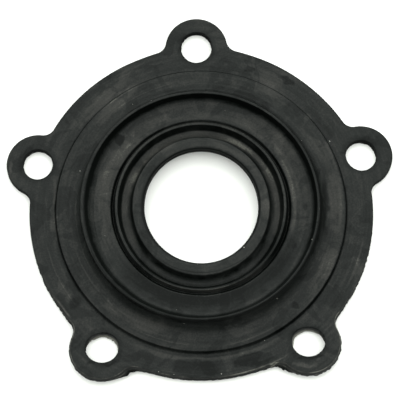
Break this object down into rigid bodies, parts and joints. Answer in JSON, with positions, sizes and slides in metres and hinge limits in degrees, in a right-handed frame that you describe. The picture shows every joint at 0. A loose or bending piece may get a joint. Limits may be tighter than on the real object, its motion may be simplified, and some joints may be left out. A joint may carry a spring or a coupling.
{
  "type": "flange gasket",
  "caption": "Rubber flange gasket with a stepped and ribbed crown round its bore and bolt ears on its rim.",
  "frame": {"origin": "centre of the bounding box on the flange's underside; the bore axis stands 4.75 mm from it towards -Y", "axes": "+Z along the bore axis from the flange's underside towards the crown; +Y from the bore axis towards one bolt ear"},
  "size_m": [0.1194, 0.115, 0.0099],
  "materials": {
    "rubber": "moulded black rubber, satin, with patches of pale bloom"
  },
  "bodies": {
    "root": {"flange_gasket": "rubber"}
  },
  "joints": []
}
